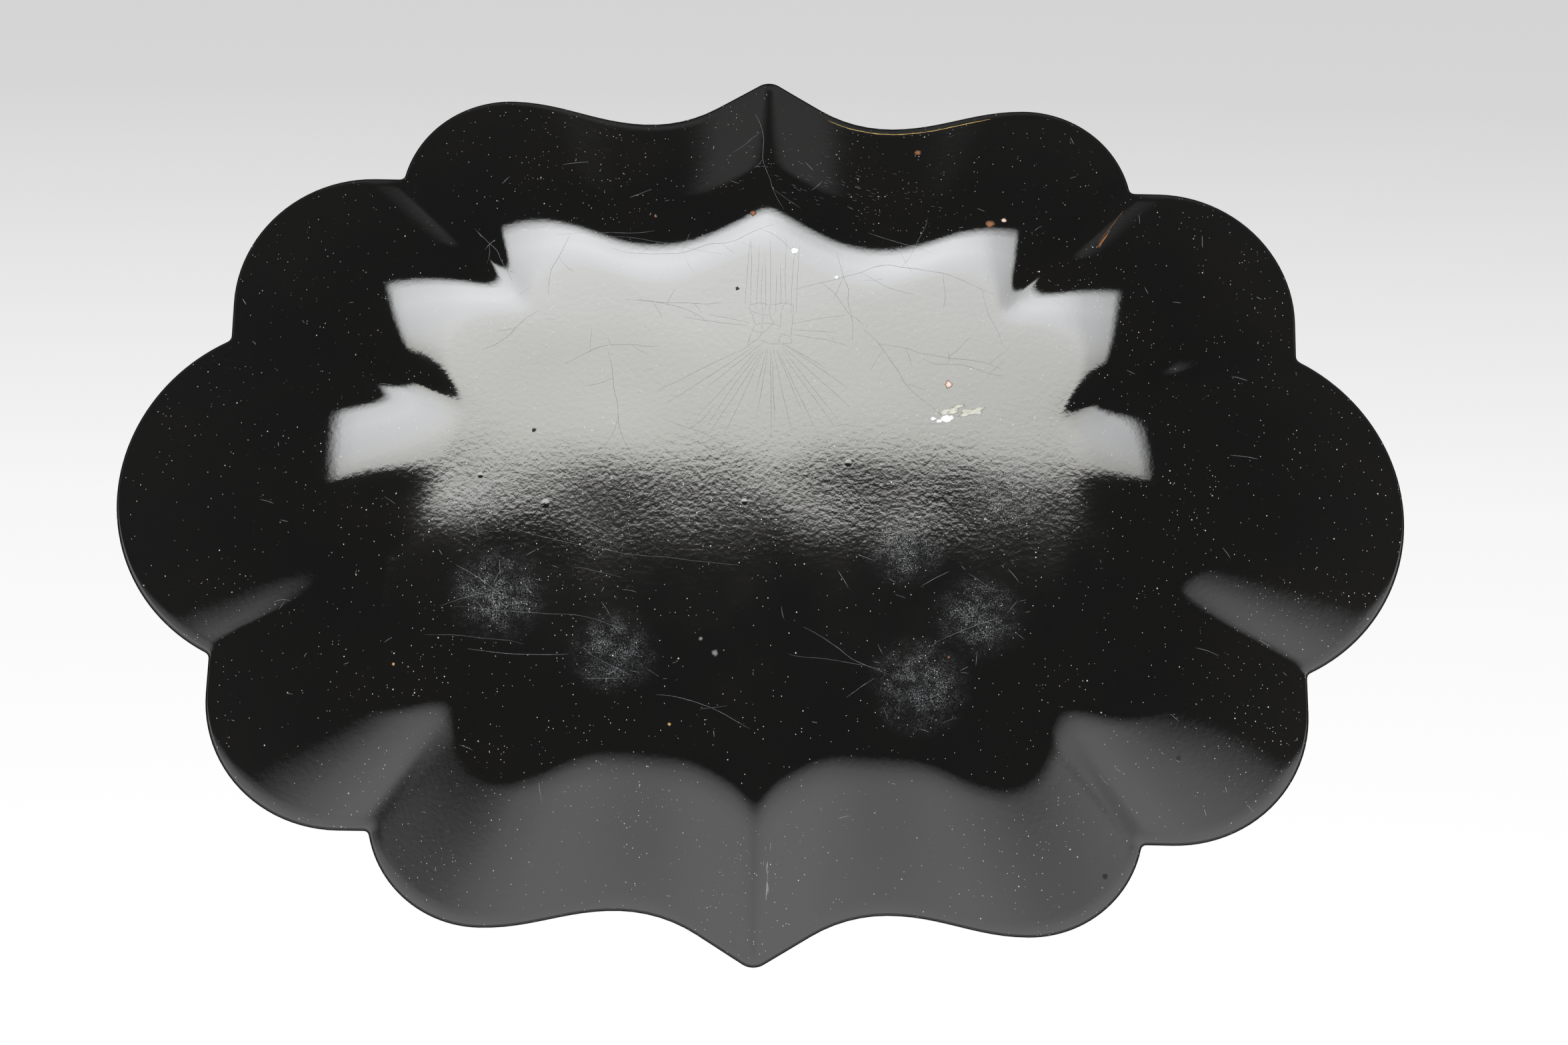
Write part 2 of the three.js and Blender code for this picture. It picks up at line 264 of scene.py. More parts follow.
def on_rim(layer, t):
    """The ring at a height over the well's lowest surface, at a share t of the rim's width."""
    outer = in_roll(-ROLL_START, -below_wire(layer))
    plan = smoothed(WELL * (1 - t) + outer[:, :2] * t, SOFTEN * (1 - t) ** CREASE_FADE)
    ring = np.column_stack([plan, layer + (outer[:, 2] - layer) * climb(t)])
    ring[:, 2] += ripple(ring) * (1 - t**3)
    return ring


def in_well(layer, share):
    ring = np.column_stack([smoothed(WELL, SOFTEN) * share, np.full(AROUND, float(layer))])
    ring[:, 2] += ripple(ring)
    return ring


def surface(layer, rings):
    """The rings of one surface from the middle of the well to the top of the rim."""
    flat = [in_well(layer, s) for s in np.linspace(FLAT_START, 1, FLAT_RINGS)[:-1]]
    return flat + [on_rim(layer, t) for t in np.linspace(0, 1, rings)]


def bead_turns(radius, start, stop, steps):
    """Rings over the bead from one angle to another; start can differ from point to point."""
    return [on_bead(radius, start * (1 - s) + stop * s) for s in np.linspace(0, 1, steps + 1)]


def mesh_piece(name, points, faces, material):
    """A smooth mesh from points in millimetres and a list of faces."""
    mesh = bpy.data.meshes.new(name)
    mesh.from_pydata((np.asarray(points) * MM).tolist(), [], faces)
    mesh.polygons.foreach_set("use_smooth", [True] * len(mesh.polygons))
    mesh.materials.append(material)
    mesh.update()
    piece = bpy.data.objects.new(name, mesh)
    bpy.context.scene.collection.objects.link(piece)
    return piece


def band_faces(rings, closed=False):
    """Quads between rings that follow each other."""
    here = np.arange(AROUND)
    ahead = (here + 1) % AROUND
    faces = []
    for k in range(rings if closed else rings - 1):
        low, high = k * AROUND, ((k + 1) % rings) * AROUND
        faces.append(np.stack([low + here, high + here, high + ahead, low + ahead], 1))
    return np.concatenate(faces).tolist()


def shell_piece(name, upper, lower, material):
    """A closed shell: upper rings from the middle outward, then lower rings back in."""
    rings = upper + lower
    points = np.concatenate(rings)
    top = [0, 0, upper[0][:, 2].mean()]
    under = [0, 0, lower[-1][:, 2].mean()]
    faces = band_faces(len(rings))
    last = len(points) - AROUND
    for i in range(AROUND):
        ahead = (i + 1) % AROUND
        faces.append([len(points), i, ahead])
        faces.append([len(points) + 1, last + ahead, last + i])
    return mesh_piece(name, np.concatenate([points, [top, under]]), faces, material)


def hoop_piece(name, loop, material):
    """A closed ring whose section is a loop of rings."""
    return mesh_piece(name, np.concatenate(loop), band_faces(len(loop), closed=True), material)


# The looks. Colours are linear.


class Nodes:
    """A short way to write a material's nodes."""

    def __init__(self, tree):
        self.tree = tree

    def add(self, kind, *inputs, **settings):
        node = self.tree.nodes.new("ShaderNode" + kind)
        for key, value in settings.items():
            setattr(node, key, value)
        for place, value in enumerate(inputs):
            self.put(node.inputs[place], value)
        return node

    def put(self, socket, value):
        if isinstance(value, bpy.types.NodeSocket):
            self.tree.links.new(value, socket)
        elif value is not None:
            socket.default_value = value

    def math(self, operation, a, b=None, clamp=False):
        return self.add("Math", a, b, operation=operation, use_clamp=clamp).outputs[0]

    def times(self, *values):
        total = values[0]
        for value in values[1:]:
            total = self.math("MULTIPLY", total, value)
        return total

    def ramp(self, value, low, high, start=0.0, stop=1.0, smooth=True):
        kind = "SMOOTHSTEP" if smooth else "LINEAR"
        node = self.add("MapRange", value, low, high, start, stop, interpolation_type=kind)
        return node.outputs[0]

    def dot(self, vector, other):
        return self.add("VectorMath", vector, other, operation="DOT_PRODUCT").outputs["Value"]

    def mix(self, share, a, b, blend="MIX"):
        node = self.add("Mix", data_type="RGBA", blend_type=blend)
        for place, value in ((0, share), (6, a), (7, b)):
            self.put(node.inputs[place], value)
        return node.outputs[2]

    def noise(self, vector, scale, detail=2.0, roughness=0.5):
        return self.add("TexNoise", vector, None, scale, detail, roughness).outputs["Fac"]

    def vector(self, operation, a, b):
        return self.add("VectorMath", a, b, operation=operation).outputs[0]

    def place(self):
        """The surface's own coordinates, in metres."""
        return self.add("TexCoord").outputs["Object"]

    def bump(self, height, distance, normal=None):
        node = self.add("Bump")
        for name, value in (("Height", height), ("Distance", distance), ("Normal", normal)):
            self.put(node.inputs[name], value)
        return node.outputs["Normal"]


def material(name):
    made = bpy.data.materials.new(name)
    made.use_nodes = True
    shader = made.node_tree.nodes["Principled BSDF"]
    return made, Nodes(made.node_tree), shader


def bare_iron(name):
    made, n, shader = material(name)
    spots = n.noise(n.place(), 900, 4.0, 0.6)
    n.put(shader.inputs["Base Color"], n.mix(spots, (0.05, 0.045, 0.042, 1), (0.13, 0.11, 0.1, 1)))
    n.put(shader.inputs["Roughness"], n.ramp(spots, 0.3, 0.7, 0.4, 0.65))
    shader.inputs["Metallic"].default_value = 0.8
    return made


HAIR_STRETCH = (2.5, 26, 1)  # how fine the brush's hairs are along a stroke and across it
HAIR_DEPTH = 0.00004


def painted(name, roughness, hairs, coat=0.0, metal=0.0):
    """Paint whose colour comes from its strokes, with the brush's hairs showing along them."""
    made, n, shader = material(name)
    tint = n.add("VertexColor", layer_name="tint").outputs["Color"]
    run = n.add("UVMap", uv_map="stroke").outputs["UV"]
    hair = n.noise(n.vector("MULTIPLY", run, HAIR_STRETCH), 1.0, 3.0, 0.6)
    cloud = n.noise(n.place(), 700, 3.0, 0.6)
    shade = n.math("ADD", n.ramp(hair, 0.25, 0.75, 1 - hairs, 1 + hairs), n.ramp(cloud, 0.3, 0.7, -0.1, 0.1))
    grey = n.add("CombineColor", shade, shade, shade).outputs[0]
    n.put(shader.inputs["Base Color"], n.mix(1.0, tint, grey, "MULTIPLY"))
    n.put(shader.inputs["Roughness"], n.ramp(cloud, 0.3, 0.7, roughness * 0.8, roughness * 1.25))
    n.put(shader.inputs["Normal"], n.bump(hair, HAIR_DEPTH))
    shader.inputs["Coat Weight"].default_value = coat
    shader.inputs["Coat Roughness"].default_value = 0.06
    shader.inputs["Metallic"].default_value = metal
    return made


def spot(n, x, y, radius):
    """1 at a place on the tray, falling to 0 at a radius from it, in millimetres."""
    flat = n.vector("MULTIPLY", n.place(), (1, 1, 0))
    away = n.add("VectorMath", flat, (x * MM, y * MM, 0), operation="DISTANCE").outputs["Value"]
    return n.ramp(away, 0.0, radius * MM, 1.0, 0.0)


def spots(n, places):
    total = 0.0
    for place in places:
        total = n.math("MAXIMUM", total, spot(n, *place))
    return total


# Where the underside is scuffed and dented, and where the face is scuffed: place and radius.
SCUFFS = [
    (90, -45, 20), (50, -65, 18), (-55, -75, 20), (-50, -25, 17), (-75, -50, 18), (100, -10, 16),
    (-85, -5, 18),
]
DENTS = [(75, -12, 1.8), (6, -10, 1.3), (-30, 5, 1.5), (98, -2, 1.2)]
FACE_SCUFFS = [(0, -62, 34), (84, -34, 34), (-90, 34, 34)]
FACE_WEAR = 0.4
SLANT = (0.34, 0.5)  # how far from face on the underside is seen as it loses its mirror
LACQUER = ((0.0032, 0.0034, 0.0036, 1), (0.0052, 0.0048, 0.0042, 1))
POWDER = (0.42, 0.43, 0.45, 1)
SPECK = (0.42, 0.41, 0.38, 1)
SPECK_SIZES = ((400, -0.05, 0.1), (1000, -0.1, 0.16))  # how crowded, and the least and greatest radius
GLOSS = (0.035, 0.055)
DENT_DEPTH = 0.00002
SWELL_DEPTH = 0.000012
PEEL_DEPTH = 0.000013


def specks(n, place, crowd):
    """Dust and nicks of two sizes, more of them where crowd is high."""
    speck = 0.0
    for crowding, fewest, widest in SPECK_SIZES:
        cell = n.add("TexVoronoi", place, feature="F1")
        cell.inputs["Scale"].default_value = crowding
        pick = n.add("SeparateColor", cell.outputs["Color"])
        size = n.ramp(pick.outputs[0], 0.0, 1.0, fewest, widest, smooth=False)
        chosen = n.math("LESS_THAN", cell.outputs["Distance"], size)
        speck = n.math("MAXIMUM", speck, n.times(chosen, n.math("LESS_THAN", pick.outputs[1], crowd)))
    return speck


def worn_lacquer(name, scuffs, dents, wear, underside=False):
    """Black lacquer: an uneven gloss, dust and nicks, and pale powdery scuffs.

    At a slant the underside mirrors only the tray's own shade on the table, so it goes dark.
    """
    made, n, shader = material(name)
    place = n.place()
    peel = n.noise(place, 520, 2.5, 0.55)
    swell = n.noise(place, 60, 1.0, 0.5)
    patchy = n.noise(place, 24, 3.0, 0.6)

    broken = n.ramp(n.noise(place, 170, 6.0, 0.7), 0.4, 0.64)
    rubbed = n.times(spots(n, scuffs), n.math("ADD", n.times(broken, 0.85), 0.15))
    powder = n.ramp(n.noise(place, 2400, 3.0, 0.8), 0.5, 0.66)
    grain = n.ramp(n.noise(place, 800, 4.0, 0.75), 0.5, 0.7)
    hazy = n.times(rubbed, n.math("ADD", n.times(powder, 0.8), n.times(grain, 0.2)), wear)
    crowd = n.ramp(n.math("ADD", patchy, n.times(rubbed, 0.4)), 0.4, 0.75, 0.25, 1.0)
    speck = n.times(specks(n, place, crowd), wear)

    pale = n.mix(n.times(hazy, 0.55), n.mix(patchy, *LACQUER), POWDER)
    n.put(shader.inputs["Base Color"], n.mix(speck, pale, SPECK))
    dull = n.math("MAXIMUM", n.times(hazy, 0.4), n.times(speck, 0.5))
    n.put(shader.inputs["Roughness"], n.math("ADD", n.ramp(patchy, 0.3, 0.7, *GLOSS), dull))
    if underside:
        slant = n.add("LayerWeight").outputs["Facing"]
        n.put(shader.inputs["Specular IOR Level"], n.ramp(slant, *SLANT, 0.5, 0.0))
    waves = n.bump(spots(n, dents), DENT_DEPTH, n.bump(swell, SWELL_DEPTH))
    n.put(shader.inputs["Normal"], n.bump(peel, PEEL_DEPTH, waves))
    return made


IRON_SKIN = bare_iron("bare_iron")
BACK_LACQUER = worn_lacquer("back_lacquer", SCUFFS, DENTS, 1.0, underside=True)
FACE_LACQUER = worn_lacquer("face_lacquer", FACE_SCUFFS, [], FACE_WEAR)
MARKS = painted("marks", 0.8, 0.3)
PAINTED = painted("oil_paint", 0.3, 0.22, coat=0.6)
GILDED = painted("gilding", 0.34, 0.3, metal=0.85)


def build_tray():
    seam = math.radians(SEAM)
    keel = STEEP - math.pi / 2

    def under(height, rings):
        return surface(height, rings) + bead_turns(below_wire(height), keel, -seam, BEAD_RINGS // 2)

    def over(height, rings):
        lift = below_wire(height)
        radius = WIRE_R + WIRE_FIT + height - IRON
        meets = math.pi + math.asin(lift / radius) + STEEP
        return surface(height, rings) + bead_turns(radius, meets, seam, BEAD_RINGS)

    def sheet(height):
        return surface(height, HIDDEN_RINGS) + bead_turns(below_wire(height), keel, ROLL_END, BEAD_RINGS)

    low, high = under(BACK_COAT, RIM_RINGS), under(BACK_COAT + COAT, HIDDEN_RINGS)
    back = shell_piece("back_lacquer", high, low[::-1], BACK_LACQUER)
    low, high = over(FACE_COAT, HIDDEN_RINGS), over(FACE_COAT + COAT, RIM_RINGS)
    face = shell_piece("face_lacquer", high, low[::-1], FACE_LACQUER)
    pan = shell_piece("pan", sheet(IRON + SHEET), sheet(IRON)[::-1], IRON_SKIN)
    turns = [on_bead(WIRE_R, angle) for angle in np.linspace(0, 2 * math.pi, 12, endpoint=False)]
    return [
        (back, "back_lacquer_coat", "back_lacquer"),
        (face, "face_lacquer_coat", "face_lacquer"),
        (pan, "pressed_pan", "sheet_iron"),
        (hoop_piece("wire", turns, IRON_SKIN), "rim_wire", "iron_wire"),
    ]


def settle(piece, node):
    """The piece moves with the tray and stands for a CAD node."""
    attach(piece, "root")
    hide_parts(node)
    return piece


TRAY = {node: settle(piece, node) for piece, node, slot in build_tray()}


# Strokes: thin closed strips and petals that lie on a finished surface.
SUNK = 0.06  # how deep a stroke's hidden back lies in the coat under it, in millimetres
STROKE_SHIFT = 0.37  # moves the brush's hairs along from one stroke to the next


class Ground:
    """A finished surface, seen from above or from below, on which strokes are laid."""

    def __init__(self, piece, up):
        points = [v.co / MM for v in piece.data.vertices]
        self.tree = BVHTree.FromPolygons(points, [p.vertices[:] for p in piece.data.polygons])
        self.up = up

    def height(self, x, y):
        hit = self.tree.ray_cast(Vector((x, y, 100.0 * self.up)), Vector((0, 0, -self.up)))[0]
        return None if hit is None else hit.z


def shades(stops, value):
    """Colours that run from each of the stops to the next as value goes from 0 to 1."""
    at = np.linspace(0, 1, len(stops))
    return np.stack([np.interp(value, at, [stop[k] for stop in stops]) for k in range(3)], -1)


def curve_through(places, step):
    """A smooth path through places in plan, with points about a step apart."""
    p = np.array([2 * np.array(places[0]) - places[1], *places, 2 * np.array(places[-1]) - places[-2]], float)
    path = []
    for a, b, c, d in zip(p, p[1:], p[2:], p[3:]):
        count = max(2, round(np.linalg.norm(c - b) / step))
        t = np.linspace(0, 1, count, endpoint=False)[:, None]
        path.append(b + 0.5 * t * (c - a + t * (2 * a - 5 * b + 4 * c - d + t * (3 * (b - c) + d - a))))
    return np.concatenate([*path, p[-2:-1]])


def around(sides):
    return np.linspace(0, 2 * math.pi, sides + 1)[:-1]


def ringed(x, y, share, reach, angle):
    """Rings of places about a middle, at shares of the outline's reach at each angle."""
    return np.stack([x + share * reach * np.cos(angle), y + share * reach * np.sin(angle)], -1)


class Strokes:
    """Collects strokes for one piece, with a colour at each point and a direction along each stroke."""

    def __init__(self, ground):
        self.ground = ground
        self.points, self.faces, self.tints, self.ways = [], [], [], []
        self.count = 0

    def lay(self, plan, heights, tints, way):
        """Adds a grid of places twice, over the ground and sunk in it; gives the first ones' numbers."""
        shape = plan.shape[:2]
        places = [self.ground.height(*place) for place in plan.reshape(-1, 2)]
        if None in places:
            return None
        floor, up = np.array(places).reshape(shape), self.ground.up
        for z in (floor + up * heights, floor - up * SUNK):
            self.points.append(np.dstack([plan, z]).reshape(-1, 3))
            self.tints.append(np.broadcast_to(np.array(tints, float), (*shape, 3)).reshape(-1, 3))
            self.ways.append((way + (self.count * STROKE_SHIFT, 0)).reshape(-1, 2))
        here = self.count + np.arange(len(places)).reshape(shape)
        self.count += 2 * len(places)
        return here

    def shut(self, quads, rim, size, caps=()):
        """Adds the faces of the front, the sunk back, the wall round the rim, and any caps."""
        ahead = np.roll(rim, -1)
        wall = np.stack([rim, rim + size, ahead + size, ahead], 1)
        faces = [*np.concatenate([quads, (quads + size)[:, ::-1], wall]), *caps]
        self.faces += [face if self.ground.up > 0 else face[::-1] for face in faces]

    def patch(self, grid, heights, tints):
        """A closed patch: a grid of places in plan and their heights over the ground."""
        way = [np.linspace(0, 1, count) for count in grid.shape[:2]]
        here = self.lay(grid, heights, tints, np.stack(np.meshgrid(*way, indexing="ij"), -1))
        if here is None:
            return
        quads = np.stack([here[:-1, :-1], here[1:, :-1], here[1:, 1:], here[:-1, 1:]], -1).reshape(-1, 4)
        rim = np.concatenate([here[:, 0], here[-1, 1:], here[-2::-1, -1], here[0, -2:0:-1]])
        self.shut(quads, rim, here.size)

    def disc(self, rings, proud, tints, base=0.0):
        """A closed disc from rings of places, given anticlockwise from the middle out."""
        count, sides = rings.shape[:2]
        dome = base + proud * (1 - np.linspace(0, 1, count)[:, None] ** 4)
        v, u = np.meshgrid(np.linspace(0, 3, sides), np.linspace(0, 1, count))
        here = self.lay(rings, dome, tints, np.stack([u, v], -1))
        if here is None:
            return
        ahead = np.roll(here, -1, axis=1)
        quads = np.stack([here[:-1], here[1:], ahead[1:], ahead[:-1]], -1).reshape(-1, 4)
        self.shut(quads, here[-1], here.size, [here[0], (here[0] + here.size)[::-1]])

    def sweep(self, path, half_widths, proud, tints, columns=3, base=0.0):
        """A stroke along a path in plan, domed across; tints are one colour or a colour for each place."""
        along = np.gradient(path, axis=0)
        along /= np.linalg.norm(along, axis=1)[:, None] + 1e-9
        left = np.stack([-along[:, 1], along[:, 0]], 1)
        across = np.linspace(-1, 1, columns)
        grid = path[:, None] + left[:, None] * (np.asarray(half_widths)[:, None] * across)[..., None]
        self.patch(grid, base + proud * (1 - 0.8 * across**2), tints)

    def hairline(self, places, width, tint, wander=0.25, step=1.6):
        """A thin crack or scratch through places in plan, wandering a little, fading out at its ends."""
        path = curve_through(places, step)
        path = path + rng.normal(0, wander, path.shape) * 0.6
        ends = np.sin(np.linspace(0.12, math.pi - 0.12, len(path))) ** 0.4
        self.sweep(path, width / 2 * ends * rng.uniform(0.7, 1.2, len(path)), 0.02, tint)

    def flake(self, x, y, radius, stops, stretch=1.0, turn=0.0, proud=0.03, rough=0.25):
        """A chip or blot with a ragged outline; its colours run from the middle out."""
        sides, rings = 12, 4
        angle = around(sides)
        reach = radius * (1 + rng.uniform(-rough, rough, sides))
        share = np.linspace(0.05, 1, rings)[:, None]
        px, py = share * reach * np.cos(angle) * stretch, share * reach * np.sin(angle)
        c, s = math.cos(turn), math.sin(turn)
        ring = np.stack([x + c * px - s * py, y + s * px + c * py], -1)
        self.disc(ring, proud, shades(stops, share))

    def piece(self, name, paint):
        faces = [list(map(int, face)) for face in self.faces]
        made = mesh_piece(name, np.concatenate(self.points), faces, paint)
        mesh = made.data
        tint = np.concatenate(self.tints)
        tint = np.column_stack([tint, np.ones(len(tint))]).astype(np.float32)
        layer = mesh.color_attributes.new("tint", "FLOAT_COLOR", "POINT")
        layer.data.foreach_set("color", tint.ravel())
        corners = np.empty(len(mesh.loops), int)
        mesh.loops.foreach_get("vertex_index", corners)
        ways = mesh.uv_layers.new(name="stroke")
        ways.data.foreach_set("uv", np.concatenate(self.ways)[corners].astype(np.float32).ravel())
        return made


UNDER = Ground(TRAY["back_lacquer_coat"], -1)
OVER = Ground(TRAY["face_lacquer_coat"], 1)

# Marks on the underside, in millimetres.
CRACK = (0.13, 0.13, 0.13)
SCRATCH = (0.3, 0.31, 0.32)
STAR = (-2, 55)  # where something struck the well and crazed the lacquer
STAR_RAYS = 19
STAR_BARS = 11
NET = 5  # cracks each way in the star's middle
NET_STEP = 3.6
STREAK_STEP = 5  # millimetres between a streak's turns
# Each crack and scratch runs from a place at a heading in degrees, for a length.
CRACKS = [
    (45, 65, 200, 25), (50, 65, 195, 35), (70, 40, 150, 35), (55, 85, 205, 60),
    (55, 45, 270, 40), (-10, 70, 175, 75), (-25, 85, 265, 35), (-35, 55, 225, 40),
    (-40, 50, 175, 45), (-55, 45, 185, 30), (35, 20, 195, 65), (70, 90, 270, 25),
    (80, 60, 340, 25), (5, 150, 270, 50), (105, 95, 225, 28),
]
SCRATCHES = [
    (100, -15, 205, 95), (75, -10, 210, 30), (65, -35, 185, 18), (105, -35, 210, 22),
    (110, -50, 155, 20), (105, -50, 185, 60), (115, -60, 180, 35), (100, -65, 185, 35),
    (60, -65, 205, 20), (60, -75, 175, 15), (35, -80, 180, 35), (20, -85, 170, 10),
    (-45, -20, 180, 20), (-55, -40, 150, 12), (-60, -60, 150, 25), (-15, -55, 205, 35),
    (-10, -65, 190, 35), (-30, -80, 145, 12), (60, 90, 175, 45), (75, 90, 175, 35),
    (-60, 85, 25, 25),
]
PINK_GROUND = [(0.6, 0.45, 0.38), (0.52, 0.38, 0.32), (0.12, 0.08, 0.07)]
WHITE = [(0.82, 0.82, 0.8), (0.8, 0.8, 0.78), (0.5, 0.5, 0.48)]
RUST = [(0.24, 0.085, 0.015), (0.13, 0.045, 0.01), (0.03, 0.014, 0.006)]
BARE_GOLD = [(0.5, 0.34, 0.1), (0.32, 0.2, 0.05), (0.08, 0.05, 0.015)]
GREY_SPOT = [(0.16, 0.16, 0.16), (0.09, 0.09, 0.09), (0.02, 0.02, 0.02)]
# Near-black painted shade for the dark inside pinholes and pits, darker than the lacquer round them.
PINHOLE_SHADE = [(0.001, 0.001, 0.001), (0.002, 0.002, 0.002)]
# Chips and blots, by place and radius.
CHIPS = [
    (PINK_GROUND, [(-65, 35, 1.4), (-85, 100, 0.9)]),
    (WHITE, [(-10, 85, 1.3), (-25, 75, 0.7)]),
    (RUST, [(5, 100, 1.3), (40, 100, 0.6), (-55, 135, 1.2), (-80, 98, 1.6), (-65, -65, 0.5)]),
    (BARE_GOLD, [(125, -70, 0.6), (30, -90, 0.6)]),
    (GREY_SPOT, [(15, -65, 1.2), (20, -60, 0.8)]),
    # Pinholes and pits: blots of painted shade.
    (PINHOLE_SHADE, [(10, 70, 0.7), (80, 15, 0.8), (105, -125, 0.9), (-145, -95, 0.9), (-120, -135, 1.0)]),
]
PORES = (-12, -160)  # a few pinholes by the lower tip
ADHESIVE = (-70, 25)  # a smear of old adhesive, with paler crumbs at one end
RUBBED_RIM = (-4, -136)  # white rubbing on the middle of the rim
CREASE_RUST = (-130, 113)  # rust along one crease, running in from its top
CREASE_HEADING = math.radians(-62)


def polar(x, y, reach, heading):
    return np.array([x + reach * math.cos(heading), y + reach * math.sin(heading)])


def streak(strokes, x, y, heading, length, width, tint, bend=0.03):
    """A fine line from a place along a heading, turning a little as it goes."""
    count = max(3, round(length / STREAK_STEP) + 1)
    headings = heading + np.cumsum(rng.normal(0, bend, count - 1))
    steps = np.stack([np.cos(headings), np.sin(headings)], 1) * length / (count - 1)
    places = np.concatenate([[(x, y)], (x, y) + np.cumsum(steps, axis=0)])
    strokes.hairline(places, width, tint, 0.05)
    return places, headings


def crack(strokes, x, y, heading, length):
    """A wandering crack, with shorter ones branching from it."""
    places, headings = streak(strokes, x, y, heading, length, 0.12, CRACK, 0.17)
    for k in range(2, len(headings), 3):
        turn = rng.choice((-1, 1)) * rng.uniform(0.6, 1.3)
        streak(strokes, *places[k], headings[k] + turn, rng.uniform(0.1, 0.32) * length, 0.09, CRACK, 0.15)


def craze(strokes):
    """The star of cracks where the well was struck: a net, a comb of lines above it, and rays below."""
    x, y = STAR

    def knot(i, j):
        return x + NET_STEP * (i - 2) + rng.normal(0, 0.9), y + NET_STEP * (j - 1.5) + rng.normal(0, 0.9)

    net = [[knot(i, j) for j in range(NET)] for i in range(NET)]
    for i in range(NET):
        for j in range(NET):
            for ahead in ((i + 1, j), (i, j + 1)):
                if max(ahead) < NET and rng.uniform() < 0.8:
                    strokes.hairline([net[i][j], net[ahead[0]][ahead[1]]], 0.09, CRACK, 0.12, 0.9)
    for k in range(STAR_BARS):
        start = (x + 18 * (k / (STAR_BARS - 1) - 0.5), y + rng.uniform(5, 10))
        streak(strokes, *start, math.pi / 2 + rng.normal(0, 0.03), rng.uniform(14, 28), 0.09, CRACK, 0.03)
    for k in range(STAR_RAYS):
        heading = math.radians(-152 + 124 * (k + rng.uniform(-0.3, 0.3)) / (STAR_RAYS - 1))
        start = polar(x, y - 3, rng.uniform(3, 8), heading)
        streak(strokes, *start, heading, rng.uniform(16, 40), 0.1, CRACK, 0.02)
    for heading in (0.1, 0.25, 2.9, 3.2, 3.4):
        streak(strokes, *polar(x, y, 8, heading), heading, rng.uniform(14, 24), 0.1, CRACK, 0.06)


def mark_underside():
    marks = Strokes(UNDER)
    craze(marks)
    for x, y, degrees, length in CRACKS:
        crack(marks, x, y, math.radians(degrees), length)
    for x, y, degrees, length in SCRATCHES:
        shade = np.array(SCRATCH) * rng.uniform(0.5, 1)
        streak(marks, x, y, math.radians(degrees), length, 0.08, shade, 0.07)

    for sx, sy, radius in SCUFFS:
        for _ in range(9):
            at = np.array((sx, sy)) + rng.normal(0, radius * 0.6, 2)
            streak(marks, *at, rng.normal(0.4, 0.9), rng.uniform(1, 7), 0.07, SCRATCH, 0.12)
    for _ in range(150):
        at = rng.uniform((-190, -120), (190, 140))
        streak(marks, *at, rng.normal(0.2, 0.9), rng.gamma(1.6, 1.8), 0.09, SCRATCH, 0.14)
    for _ in range(50):
        at = np.array((-24, 112)) + rng.normal(0, (16, 6))
        streak(marks, *at, 0.25, 1.6, 0.1, CRACK)

    for stops, places in CHIPS:
        for place in places:
            marks.flake(*place, stops)
    for _ in range(3):
        # A few pinholes by the lower tip, as blots of painted shade.
        marks.flake(*(np.array(PORES) + rng.normal(0, 1.2, 2)), 0.6, PINHOLE_SHADE)
    for _ in range(26):
        at = np.array(ADHESIVE) + rng.normal(0, 1, 2) * (4.5, 0.8)
        marks.flake(*at, rng.uniform(0.25, 0.8), [(0.42, 0.42, 0.37), (0.25, 0.25, 0.22)], 3.0, -0.25, 0.02)
    for _ in range(7):
        at = np.array(ADHESIVE) + (7, -3) + rng.normal(0, 1, 2) * (1.6, 0.5)
        marks.flake(*at, rng.uniform(0.5, 0.9), WHITE, 1.8, -0.25)
    streak(marks, *CREASE_RUST, CREASE_HEADING, 20, 0.2, RUST[1], 0.06)
    for k in range(4):
        at = polar(*CREASE_RUST, 13 + k, CREASE_HEADING) + (rng.normal(0, 0.15), 0)
        streak(marks, *at, CREASE_HEADING, 9 - k, 0.3, RUST[k % 2], 0.1)
    for _ in range(16):
        at = np.array(RUBBED_RIM) + (rng.normal(0, 0.5), rng.uniform(-8, 8))
        streak(marks, *at, -math.pi / 2, rng.uniform(1, 4), 0.1, SCRATCH, 0.1)
    inset = EDGE - NORMAL * 3.4
    strayed = np.flatnonzero((inset[:, 1] > 130) & (inset[:, 0] > -76) & (inset[:, 0] < -22))
    for k in range(5):  # gold that strayed over the edge
        first = strayed[round(k / 5 * (len(strayed) - 1))]
        marks.hairline(inset[first : first + rng.integers(4, 9)], 0.22, BARE_GOLD[k % 2], 0.1)
    settle(marks.piece("back_marks", MARKS), "back_lacquer_coat")


mark_underside()


# The painting on the face. Colours run from the root of a stroke to its tip: shadow, body, light, glint.
CRIMSON = [(0.07, 0.003, 0.008), (0.36, 0.012, 0.022), (0.8, 0.17, 0.15), (0.97, 0.62, 0.52)]
BLUSH = [(0.2, 0.03, 0.03), (0.68, 0.22, 0.18), (0.93, 0.58, 0.5), (1.0, 0.9, 0.85)]
CREAM = [(0.22, 0.11, 0.03), (0.72, 0.5, 0.24), (0.93, 0.84, 0.6), (1.0, 0.98, 0.9)]
BLUE = [(0.008, 0.02, 0.09), (0.04, 0.13, 0.4), (0.25, 0.46, 0.8), (0.75, 0.88, 0.98)]
YELLOW = [(0.2, 0.07, 0.005), (0.72, 0.34, 0.02), (0.93, 0.7, 0.16), (1.0, 0.93, 0.6)]
GREEN = [(0.005, 0.022, 0.01), (0.022, 0.1, 0.03), (0.13, 0.3, 0.07), (0.55, 0.62, 0.25)]
OCHRE = (0.5, 0.36, 0.08)
GOLD = [(0.42, 0.25, 0.05), (0.72, 0.47, 0.13), (0.86, 0.62, 0.22)]
LAYER = 0.025  # how far one layer of strokes stands over the one before, in millimetres

